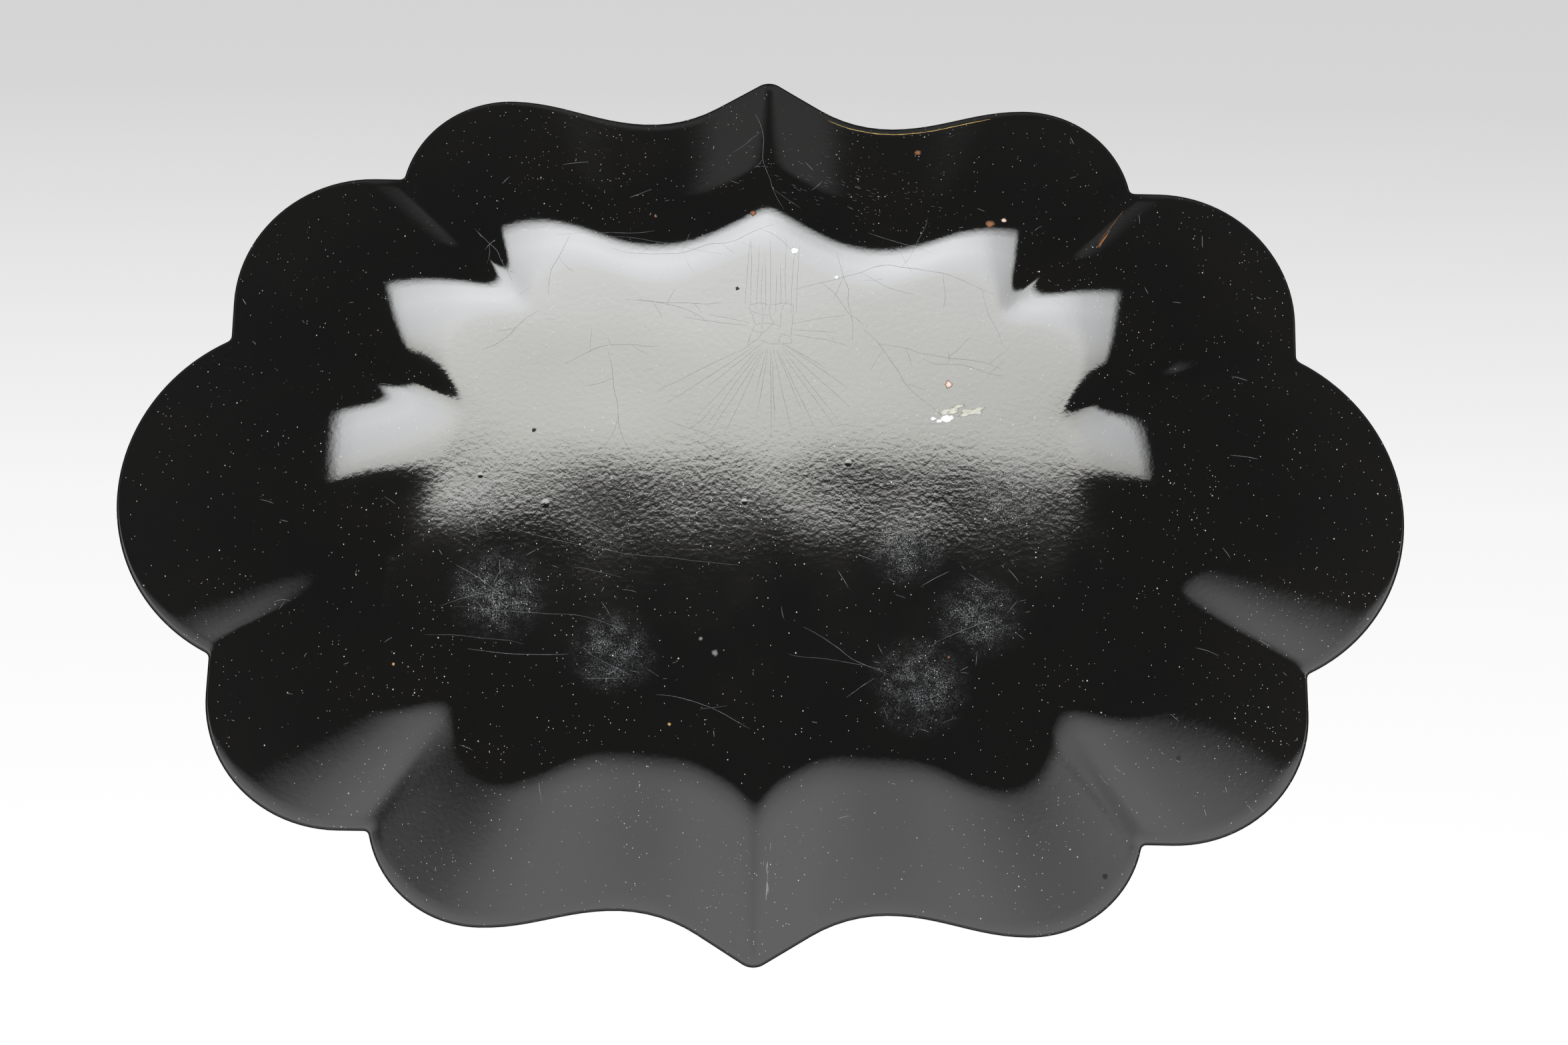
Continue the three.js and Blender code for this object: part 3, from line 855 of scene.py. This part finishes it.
# As in the CAD: flower heads by node, place, radius and petals, and leaves by place, heading and length.
BLOSSOMS = [
    ("rose_middle", 0, 3, 24, 7, CRIMSON, "crimson_paint"),
    ("rose_left", -42, -10, 17, 6, BLUSH, "blush_paint"),
    ("rose_right", 42, 12, 17, 6, CREAM, "cream_paint"),
    ("aster_left", -37, 26, 12, 8, BLUE, "blue_paint"),
    ("aster_right", 34, -22, 12, 8, BLUE, "blue_paint"),
    ("primrose_top", 8, 41, 10, 5, YELLOW, "yellow_paint"),
    ("primrose_low", -10, -36, 10, 5, YELLOW, "yellow_paint"),
]
LEAVES = [
    (62, 8, 2, 28), (50, 34, 52, 26), (20, 50, 70, 20), (-14, 44, 112, 26), (-51, 30, 150, 22),
    (-62, -8, 178, 28), (-46, -31, 222, 26), (4, -44, 282, 22), (36, -37, 300, 26),
]
LEAF_WIDTH = 6
SIDE_LEAF = 0.62  # the size of the small leaves beside each leaf, as a share of it
PETAL_NOTCH = 0.16
# Each row of a rose's petals, from the outside: root, tip and width.
ROSE_ROWS = [(0.3, 0.97, 0.86), (0.16, 0.76, 0.74), (0.08, 0.54, 0.54), (0.02, 0.34, 0.36)]


def petal(strokes, x, y, heading, root, tip, width, colours, base, notch=0.0, lean=0.0):
    """A petal from near a flower's middle: broad at the tip, shaded from its root and lit along one side."""
    rows, columns = 12, 9
    u = np.linspace(0, 1, rows)[:, None]
    v = np.linspace(-1, 1, columns)[None, :]
    spread = np.sin(np.clip(u * 0.96 + 0.06, 0, 1) ** 0.75 * math.pi) ** 0.55
    out = root + (tip - root) * (u - u * (0.1 * v**2 + notch * np.exp(-((v / 0.25) ** 2))))
    side = v * width / 2 * spread + lean * u**2
    c, s = math.cos(heading), math.sin(heading)
    grid = np.stack([x + c * out - s * side, y + s * out + c * side], -1)
    lip = 0.2 * np.clip((u - 0.8) / 0.2, 0, 1) * (1 - np.abs(v))
    lit = u**0.9 * 0.72 + 0.16 * v * u + lip - 0.12 * (1 - np.abs(v)) * (1 - u)
    strokes.patch(grid, base + 0.05 * (1 - v**2 * 0.8), shades(colours, lit))


def wisp(strokes, places, width, tint, base=0.0, step=1.5):
    """A fine tapering line of paint."""
    path = curve_through(places, step)
    u = 0.15 + 0.83 * np.linspace(0, 1, len(path))
    strokes.sweep(path, width / 2 * np.sin(u * math.pi) ** 0.7 + 0.03, 0.035, tint, 5, base)


def dab(strokes, x, y, radius, colours, base=0.0):
    share = np.linspace(0.08, 1, 4)[:, None]
    strokes.disc(ringed(x, y, share, radius, around(10)), 0.06, shades(colours, share), base)


def under_shape(strokes, x, y, radius, petals, colours):
    """The first thin shape of a flower, a scallop for each petal."""
    angle = around(petals * 12)
    reach = radius * (1 - PETAL_NOTCH + PETAL_NOTCH * np.sqrt(np.abs(np.sin(petals * angle / 2))))
    share = np.linspace(0.06, 0.97, 8)[:, None]
    lit = 0.12 + 0.3 * share * np.abs(np.sin(petals * angle / 2))
    strokes.disc(ringed(x, y, share, reach, angle), 0.02, shades(colours, lit))


def rose(strokes, x, y, radius, petals, colours):
    under_shape(strokes, x, y, radius, petals, colours)
    start = rng.uniform(0, 2 * math.pi)
    for row, (count, (root, tip, wide)) in enumerate(zip((petals, petals - 1, 5, 4), ROSE_ROWS)):
        for k in range(count):
            heading = start + row * 0.7 + 2 * math.pi * k / count
            base = LAYER * (1.2 + row * 1.6 + 0.7 * (k % 2))
            reach = tip * rng.uniform(0.95, 1.0) * radius
            lean = rng.normal(0, 0.05) * radius
            petal(strokes, x, y, heading, root * radius, reach, wide * radius, colours, base, 0.07, lean)
            for edge, share in ((-1, 0.9), (1, 0.97)):  # a pale line where the petal's lip turns over
                turns = [edge * a * wide / tip / 2 for a in (0.12, 0.45, 0.74)]
                lip = [polar(x, y, reach * share, heading + turn) for turn in turns]
                glint = colours[3] if edge > 0 and row > 0 else colours[2]
                wisp(strokes, lip, 0.05 * radius, glint, base + 0.05)
    for k in range(5):
        heading = start + 2 * math.pi * k / 5
        curl = [polar(x, y, radius * r, heading + a) for r, a in ((0.17, 0), (0.14, 0.6), (0.1, 1.3))]
        wisp(strokes, curl, 0.045 * radius, shades(colours, 0.05 + 0.15 * (k % 2)), LAYER * 9)
    dab(strokes, x, y, 0.06 * radius, [colours[0], colours[1]], LAYER * 9)


def aster(strokes, x, y, radius, petals, colours):
    under_shape(strokes, x, y, radius, petals, colours)
    for row, (tip, count) in enumerate(((0.98, petals * 2), (0.72, petals * 2 - 2), (0.5, petals + 2))):
        for k in range(count):
            heading = 2 * math.pi * (k + row * 0.5) / count + rng.normal(0, 0.05)
            base = LAYER * (1 + row * 2 + 0.6 * (k % 2))
            reach = tip * radius * rng.uniform(0.94, 1)
            petal(strokes, x, y, heading, 0.12 * radius, reach, 3.6 * tip * radius / count, colours, base)
    dab(strokes, x, y, 0.2 * radius, [YELLOW[2], YELLOW[1], YELLOW[0]], LAYER * 7)
    for k in range(14):
        dot = polar(x, y, radius * rng.uniform(0.05, 0.24), rng.uniform(0, 2 * math.pi))
        dab(strokes, *dot, 0.26, [YELLOW[3], YELLOW[2]], LAYER * 9)


def primrose(strokes, x, y, radius, petals, colours):
    under_shape(strokes, x, y, radius, petals, colours)
    for k in range(petals):
        heading = 2 * math.pi * (k + 0.5) / petals
        base = LAYER * (1 + 0.7 * (k % 2))
        petal(strokes, x, y, heading, 0.1 * radius, 0.98 * radius, 0.98 * radius, colours, base, 0.16)
        for aside in (-0.22, 0, 0.22):
            vein = [polar(x, y, radius * r, heading + aside * r) for r in (0.2, 0.45, 0.7)]
            wisp(strokes, vein, 0.3, colours[0], base + 0.05)
    dab(strokes, x, y, 0.17 * radius, [GREEN[3], GREEN[2], colours[0]], LAYER * 4)
    for k in range(petals):
        dot = polar(x, y, radius * 0.26, 2 * math.pi * k / petals)
        dab(strokes, *dot, 0.34, [colours[3], colours[1]], LAYER * 4)


def leaf(strokes, x, y, heading, length, width, base=0.0):
    """A leaf: a dark blade, one half lit, a midrib and side veins."""
    rows, columns = 18, 9
    u = np.linspace(0, 1, rows)[:, None]
    v = np.linspace(-1, 1, columns)[None, :]
    teeth = 1 + 0.07 * np.sin(u * 34) * np.abs(v)
    half = width * 0.62 * np.sin(math.pi * u**0.8) ** 0.8 * teeth
    bend = 0.05 * length * np.sin(math.pi * u)
    out, side = length * (u + 0.0 * v), v * half + bend - 0.05 * length * u
    c, s = math.cos(heading), math.sin(heading)

    def at(a, b):
        return np.stack([x + c * a - s * b, y + s * a + c * b], -1)

    vein = np.abs(np.sin(u * 22 - np.abs(v) * 2.4))
    lit = 0.1 + 0.42 * np.clip(v, 0, 1) + 0.22 * u + 0.16 * vein * np.abs(v)
    strokes.patch(at(out, side), base + 0.04 * (1 - 0.8 * v**2), shades(GREEN, lit))
    middle = np.stack([length * u[:, 0], bend[:, 0] - 0.05 * length * u[:, 0]], -1)
    rib = at(middle[:, 0], middle[:, 1])
    strokes.sweep(rib, 0.28 * (1 - 0.7 * u[:, 0]), 0.03, GREEN[3], 5, base + 0.05)
    for k in range(3, 15, 2):
        for hand in (-1, 1):
            reach = half[k, 0] * 0.78
            ends = [middle[k] + (a * reach, hand * b * reach) for a, b in ((0, 0), (0.5, 0.55), (0.95, 0.9))]
            wisp(strokes, [at(*end) for end in ends], 0.22, shades(GREEN, 0.78), base + 0.045, 0.9)


def sprig(strokes, x, y, heading, length, hand, tint):
    """A blade of grass or a tendril, with a few seeds along it."""
    way = [polar(x, y, length * r, heading + hand * 0.5 * r**2) for r in (0, 0.35, 0.7, 1)]
    wisp(strokes, way, 0.55, tint, 0.0)
    for r in (0.55, 0.7, 0.85, 1.0):
        at = polar(x, y, length * r, heading + hand * 0.5 * r**2)
        dab(strokes, *(at + rng.normal(0, 0.5, 2)), 0.45, [YELLOW[2], OCHRE], 0.01)


def paint_face():
    draw = {"rose": rose, "aster": aster, "primrose": primrose}
    for node, x, y, radius, petals, colours, slot in BLOSSOMS:
        strokes = Strokes(OVER)
        draw[node.split("_")[0]](strokes, x, y, radius, petals, colours)
        settle(strokes.piece("painted_" + node, PAINTED), node)
    for k, (x, y, degrees, length) in enumerate(LEAVES, 1):
        heading = math.radians(degrees)
        strokes = Strokes(OVER)
        wisp(strokes, [polar(x, y, -14, heading - 0.2), polar(x, y, -6, heading), (x, y)], 0.8, GREEN[2])
        for hand in (-1, 1):
            root = polar(x, y, -2, heading)
            aside, reach = rng.uniform(0.5, 0.8), rng.uniform(18, 26)
            sprig(strokes, *root, heading + hand * aside, reach, -hand, shades(GREEN, 0.7))
            start = polar(*root, 1, heading + hand)
            turned = heading + hand * rng.uniform(0.75, 1.0)
            leaf(strokes, *start, turned, SIDE_LEAF * length, SIDE_LEAF * LEAF_WIDTH)
        leaf(strokes, x, y, heading, length, LEAF_WIDTH, 0.03)
        settle(strokes.piece(f"painted_leaf_{k}", PAINTED), f"leaf_{k}")


paint_face()

# The gilt border on the rim, and the gold line on the bead.
GARLAND = (0.72, 0.9)
MOTIF = 15.5  # millimetres of the border's length for each repeat


def gild():
    middle = sum(GARLAND) / 2
    rails = [on_rim(PAINT, t)[:, :2] for t in (*GARLAND, middle)]
    steps = np.linalg.norm(np.roll(rails[2], -1, axis=0) - rails[2], axis=1)
    at = np.concatenate([[0], np.cumsum(steps)])
    count = round(at[-1] / MOTIF)
    border = Strokes(OVER)

    def place(s, r):
        """A place on the border: s along it in repeats, r from 0 at its inner line to 1 at its outer."""
        index = np.interp((s % count) * at[-1] / count, at, np.arange(AROUND + 1)) % AROUND
        low, share = int(index), index - int(index)
        ends = [rail[low] * (1 - share) + rail[(low + 1) % AROUND] * share for rail in rails[:2]]
        return ends[0] * (1 - r) + ends[1] * r

    def comma(points, width, level=0.0):
        path = curve_through([place(*p) for p in points], 1.1)
        u = np.linspace(0, 1, len(path))
        swell = width / 2 * np.sin(math.pi * (0.08 + 0.9 * u**0.6)) ** 0.9 + 0.05
        tint = shades(GOLD, 0.35 + 0.6 * u)[:, None]
        border.sweep(path, swell, 0.05, tint, 5, level)

    for k in range(count):
        for hand in (-1, 1):
            comma([(k, 0.2), (k + hand * 0.16, 0.3), (k + hand * 0.3, 0.62), (k + hand * 0.2, 0.86)], 1.9)
            comma([(k + hand * 0.06, 0.12), (k + hand * 0.28, 0.1), (k + hand * 0.44, 0.34)], 1.3)
            comma([(k + hand * 0.05, 0.42), (k + hand * 0.13, 0.56), (k + hand * 0.1, 0.74)], 1.1)
        comma([(k, 0.3), (k + 0.001, 0.6), (k, 0.97)], 1.5, 0.02)
        for on, out, radius in ((0, 0.1, 0.8), (0.5, 0.52, 0.75), (0.5, 0.74, 0.5), (0.5, 0.9, 0.34)):
            dab(border, *place(k + on, out), radius, GOLD[::-1])
    for rail, share in ((0, 0.0), (1, 1.0)):
        path = np.concatenate([rails[rail], rails[rail][:1]])
        border.sweep(path, np.full(len(path), 0.35), 0.04, shades(GOLD, 0.5), 3)
    settle(border.piece("gilt_border", GILDED), "gilt_garland")

    angles = np.linspace(math.radians(45), math.radians(120), 8)
    under = [on_bead(BEAD_R - 0.05, angle) for angle in angles]
    over = [on_bead(BEAD_R + 0.05, angle) for angle in angles]
    points = np.concatenate([*under, *over[::-1]])
    line_piece = mesh_piece("gilt_line", points, band_faces(2 * len(angles), closed=True), GILDED)
    mesh = line_piece.data
    mesh.flip_normals()
    tint = mesh.color_attributes.new("tint", "FLOAT_COLOR", "POINT")
    tint.data.foreach_set("color", np.tile([*GOLD[1], 1.0], len(mesh.vertices)).astype(np.float32))
    mesh.uv_layers.new(name="stroke")
    settle(line_piece, "gilt_edge_line")


gild()


# The stage. The tray is seen from below, so the floor shows only from above.
CAMERA_LENS = 79.6
CAMERA_TILT = math.radians(-18.824)
CAMERA_YAW = math.radians(0.424)
CAMERA_ROLL = math.radians(-1.087)
CAMERA_ASIDE = (8.03, -6.30, 1237.25)
EDGE_PLANE = 32


def make_camera():
    data = bpy.data.cameras.new("camera")
    data.lens = CAMERA_LENS
    data.sensor_width = 36
    data.clip_start, data.clip_end = 0.01, 100
    camera = bpy.data.objects.new("camera", data)
    bpy.context.scene.collection.objects.link(camera)
    turned = Matrix.Rotation(CAMERA_YAW, 4, "Y") @ Matrix.Rotation(CAMERA_TILT, 4, "X")
    turned = Matrix.Rotation(CAMERA_ROLL, 4, "Z") @ turned
    over = Matrix.Translation((0, 0, EDGE_PLANE * MM)) @ Matrix.Rotation(math.pi, 4, "Y")
    camera.matrix_world = over @ turned.transposed() @ Matrix.Translation(Vector(CAMERA_ASIDE) * MM)
    bpy.context.scene.camera = camera
    return camera


ROOM_UP = (0, 0.876, -0.482)  # up in the room that the tray stands in when its underside is seen
BACKDROP_TONES = (
    (-0.26, 1.0), (-0.2, 0.955), (-0.165, 0.925), (-0.11, 0.81), (-0.08, 0.74), (-0.05, 0.67), (0.1, 0.6),
)
SOFTBOX_LEAN = math.radians(28)  # from straight below the tray, towards +Y
SOFTBOX_ALONG = (
    (-0.157, 0), (-0.155, 0.08), (-0.152, 0.25), (-0.148, 0.48), (-0.143, 0.62), (-0.13, 0.7), (-0.11, 0.75),
    (-0.085, 0.84), (-0.05, 0.88), (0.05, 0.94), (0.15, 1), (0.3, 0.93), (0.36, 0.6), (0.42, 0),
)
SOFTBOX_ACROSS = (
    (-0.43, 0), (-0.37, 0.55), (-0.2, 0.68), (-0.12, 0.87), (0, 1), (0.12, 0.97),
    (0.2, 0.9), (0.3, 0.85), (0.5, 0.77), (0.58, 0.66), (0.66, 0),
)
SOFTBOX_TURN = 0.03  # how far the softbox's long edges slope
SOFTBOX_LIGHT = 17.9
SOFTBOX_LOW = (1.0, 1.0, 0.94, 1)
SOFTBOX_HIGH = (0.99, 1.0, 1.01, 1)
TABLE_TONES = ((-0.4, 1.5), (-0.26, 1.35), (-0.18, 1.12), (-0.13, 0.95), (-0.07, 0.5), (-0.01, 0))
TABLE_LIGHT = 1.8
TABLE_TINT = (0.99, 0.99, 1.02)
TABLE_SIDES = 0.52
TABLE_SKEW = 0.07
TABLE_TOP = (0.26, 0.36)
HORIZON = (-0.16, -0.06)  # where the light from below gives way to the backdrop
ROOM_LIGHT = 0.015
FLOOR_FAR = 40  # from the middle to the floor's edges, in metres
FLOOR_HEIGHT = -0.0006


def tone_curve(n, value, stops):
    """A shade that runs straight from each (value, shade) to the next."""
    low, high = stops[0][0], stops[-1][0]
    node = n.add("ValToRGB", n.ramp(value, low, high, smooth=False))
    ramp = node.color_ramp
    for spot, (at, shade) in enumerate(stops):
        place = (at - low) / (high - low)
        stop = ramp.elements[spot] if spot < 2 else ramp.elements.new(place)
        stop.position = place
        stop.color = (shade, shade, shade, 1)
    return node.outputs["Color"]


def make_world():
    world = bpy.data.worlds.new("studio")
    bpy.context.scene.world = world
    world.use_nodes = True
    n = Nodes(world.node_tree)
    way = n.add("TexCoord").outputs["Generated"]
    rise = n.dot(way, ROOM_UP)
    backdrop = tone_curve(n, rise, BACKDROP_TONES)
    towards = Vector((0, math.sin(SOFTBOX_LEAN), -math.cos(SOFTBOX_LEAN)))
    upward = Vector((0, math.cos(SOFTBOX_LEAN), math.sin(SOFTBOX_LEAN)))
    ahead = n.math("MAXIMUM", n.dot(way, towards), 0.01)
    across = n.math("DIVIDE", n.dot(way, (1, 0, 0)), ahead)
    along = n.math("ADD", n.math("DIVIDE", n.dot(way, upward), ahead), n.times(across, SOFTBOX_TURN))
    strength = n.times(tone_curve(n, across, SOFTBOX_ACROSS), tone_curve(n, along, SOFTBOX_ALONG))
    strength = n.times(strength, SOFTBOX_LIGHT)
    softbox = n.mix(n.ramp(along, -0.16, 0.0), SOFTBOX_LOW, SOFTBOX_HIGH)
    softbox = n.vector("MULTIPLY", softbox, strength)
    parts = n.add("SeparateXYZ", way).outputs
    curved = n.times(parts["X"], n.math("SUBTRACT", n.times(parts["X"], TABLE_SIDES), TABLE_SKEW))
    horizon = n.math("SUBTRACT", rise, curved)
    shine = n.times(tone_curve(n, horizon, TABLE_TONES), TABLE_LIGHT, n.ramp(rise, *TABLE_TOP, 1.0, 0.0))
    table = n.vector("MULTIPLY", TABLE_TINT, n.math("ADD", shine, ROOM_LIGHT))
    below = n.vector("ADD", table, softbox)
    light = n.mix(n.ramp(parts["Z"], *HORIZON), below, backdrop)
    n.put(world.node_tree.nodes["Background"].inputs["Color"], light)


def make_floor():
    mesh = bpy.data.meshes.new("floor")
    corners = [(x * FLOOR_FAR, y * FLOOR_FAR, 0) for x, y in ((-1, -1), (1, -1), (1, 1), (-1, 1))]
    mesh.from_pydata(corners, [], [(0, 1, 2, 3)])
    floor = bpy.data.objects.new("floor", mesh)
    floor.location.z = FLOOR_HEIGHT
    bpy.context.scene.collection.objects.link(floor)
    made, n, shader = material("floor")
    cloud = n.noise(n.place(), 3, 3.0)
    n.put(shader.inputs["Base Color"], n.mix(cloud, (0.74, 0.735, 0.73, 1), (0.8, 0.795, 0.79, 1)))
    shader.inputs["Roughness"].default_value = 0.7
    clear = n.add("BsdfTransparent")
    behind = n.add("NewGeometry").outputs["Backfacing"]
    both = n.add("MixShader", behind, shader.outputs[0], clear.outputs[0])
    n.put(made.node_tree.nodes["Material Output"].inputs["Surface"], both.outputs[0])
    mesh.materials.append(made)
    floor.visible_glossy = False
    floor.visible_shadow = False


def area_light(name, place, size, power):
    """A square lamp aimed at the tray."""
    data = bpy.data.lights.new(name, "AREA")
    data.size = size
    data.energy = power
    lamp = bpy.data.objects.new(name, data)
    lamp.location = place
    lamp.rotation_euler = (Vector((0, 0, 0.02)) - Vector(place)).to_track_quat("-Z", "Y").to_euler()
    bpy.context.scene.collection.objects.link(lamp)
    return lamp


make_camera()
make_world()
make_floor()
area_light("key", (-0.9, -0.7, 1.5), 1.0, 22)
area_light("fill", (1.2, 0.9, 1.2), 1.2, 9)
bpy.context.scene.view_settings.view_transform = "Standard"
